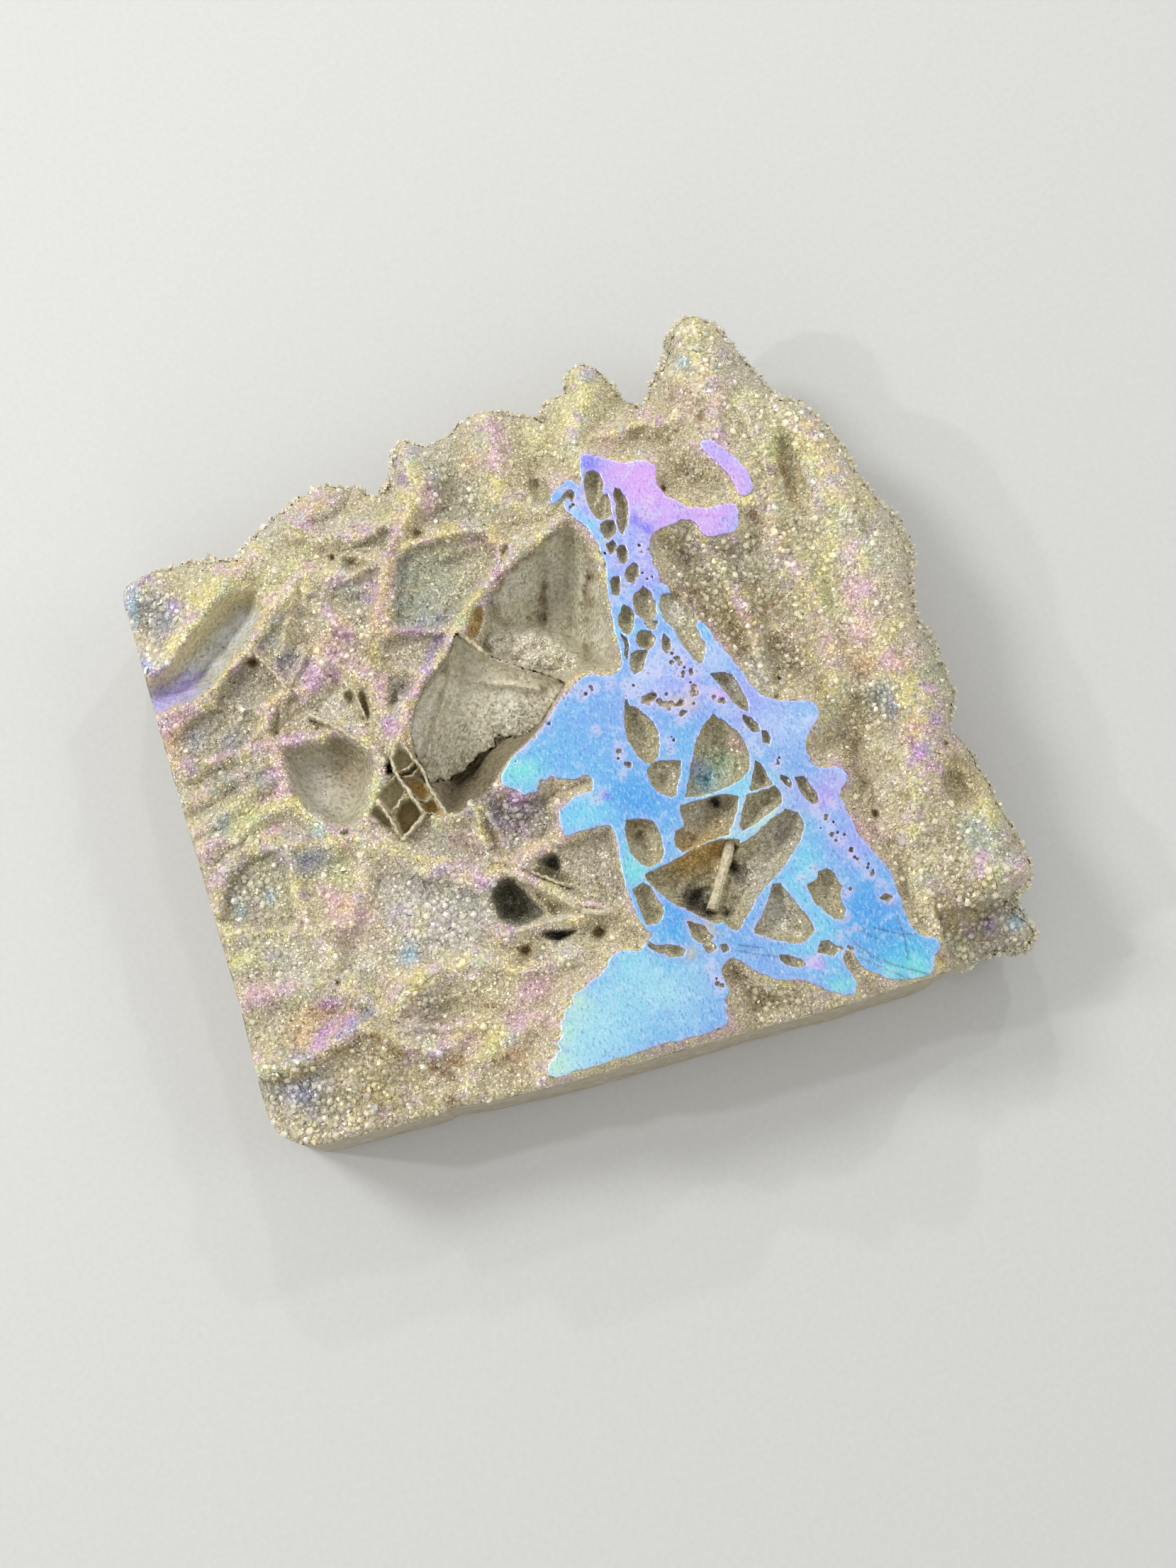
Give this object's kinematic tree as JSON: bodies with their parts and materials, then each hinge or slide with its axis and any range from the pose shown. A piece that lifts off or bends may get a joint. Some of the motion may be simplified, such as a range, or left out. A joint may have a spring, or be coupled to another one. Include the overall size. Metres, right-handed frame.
{
  "type": "druzy boxwork slab",
  "caption": "Sawn slab of druzy quartz boxwork with a flat iridescent face, open cells, a deep vug and rolling crystal ridges.",
  "frame": {"origin": "centre of the bounding box's bottom, on the sawn back that the slab rests on", "axes": "+Z out of the sawn face, +X along the straight sawn bottom side, +Y up the straight sawn left side"},
  "size_m": [0.111, 0.1014, 0.024],
  "materials": {
    "coated_quartz": "glittering fine crystals under a thin rainbow metal coat, with a flat sawn face that is glossy blue, cyan and violet"
  },
  "bodies": {
    "root": {"slab": "coated_quartz"}
  },
  "joints": []
}
